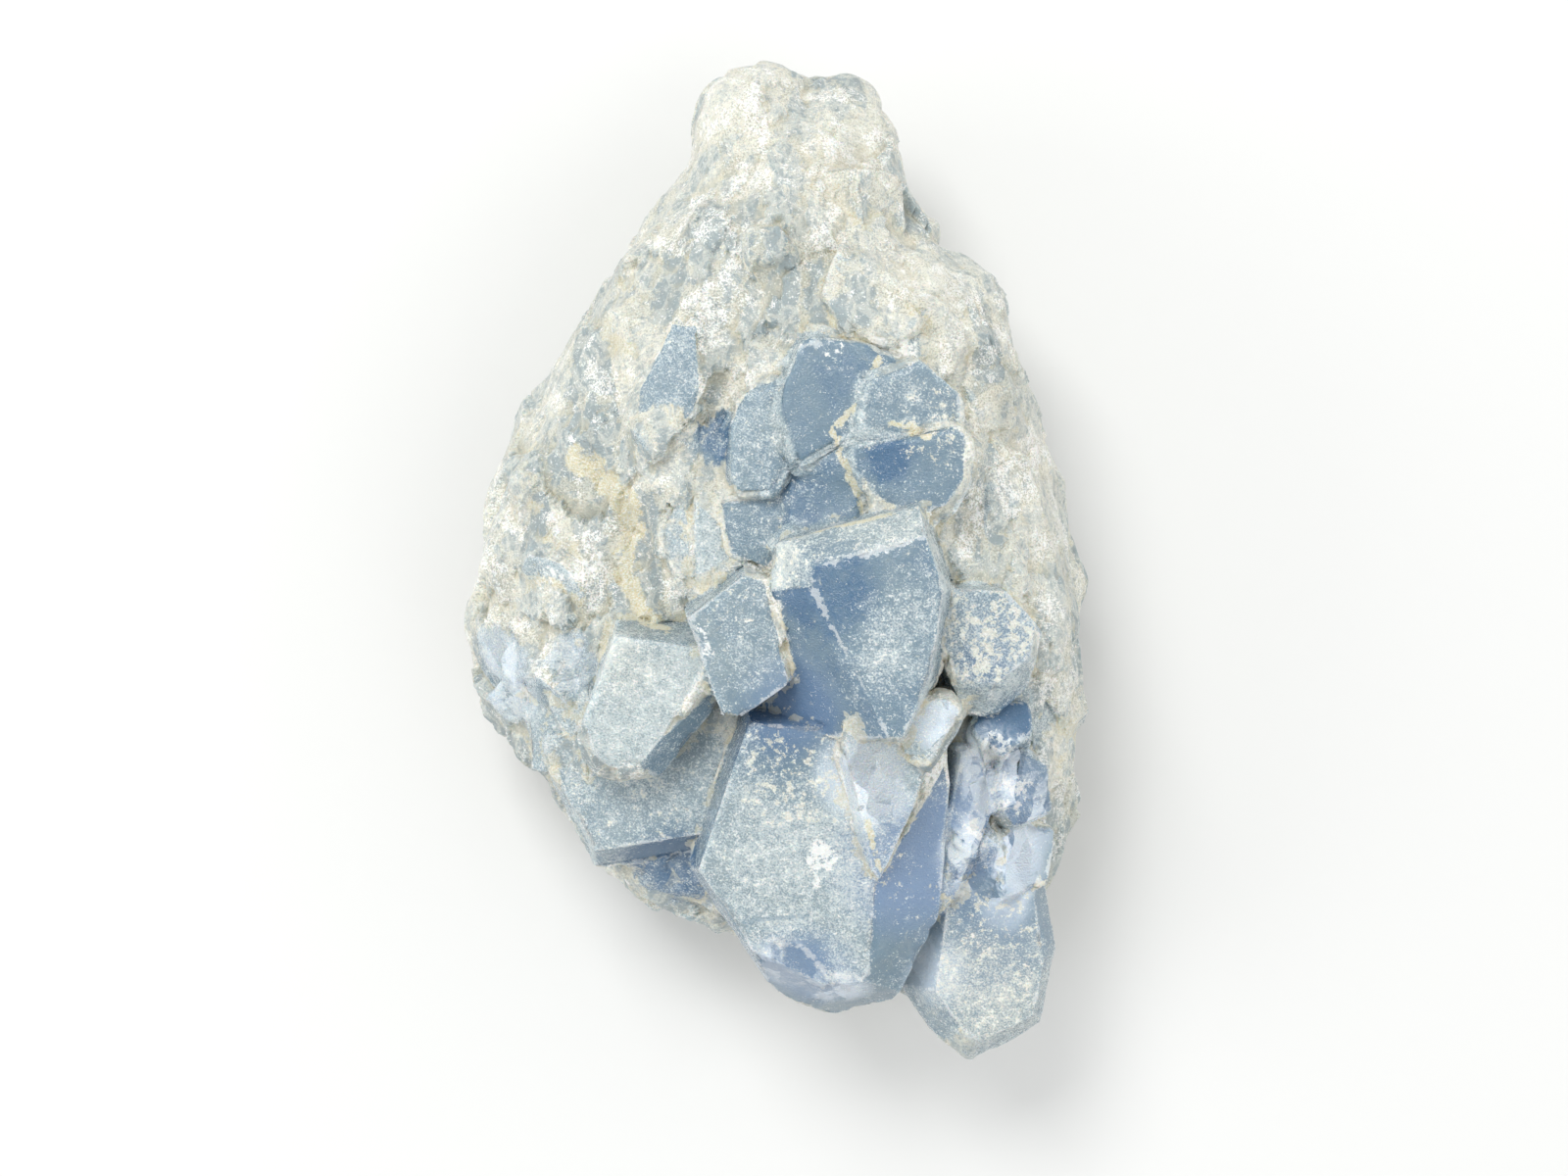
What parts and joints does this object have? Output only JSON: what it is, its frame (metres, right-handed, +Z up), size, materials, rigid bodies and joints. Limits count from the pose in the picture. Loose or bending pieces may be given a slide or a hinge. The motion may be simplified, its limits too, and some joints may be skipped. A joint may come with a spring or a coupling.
{
  "type": "celestite crystal cluster",
  "caption": "Hand-sized natural mineral specimen: pale blue blocky celestite crystals standing out of a cream, dust-coated rocky mass; for display.",
  "frame": {"origin": "centre of the bounding box, on the plane of the flat break that the piece rests on", "axes": "+Z up, out of the break towards the highest crystal; +Y along the length, from the large crystals at the open end towards the narrow knobbed neck; +X to the right seen from above"},
  "size_m": [0.102, 0.16, 0.069],
  "materials": {
    "celestite": "frosted and slightly see-through crystal faces, dull dusty crust"
  },
  "bodies": {
    "root": {"celestite_cluster": "celestite"}
  },
  "joints": []
}
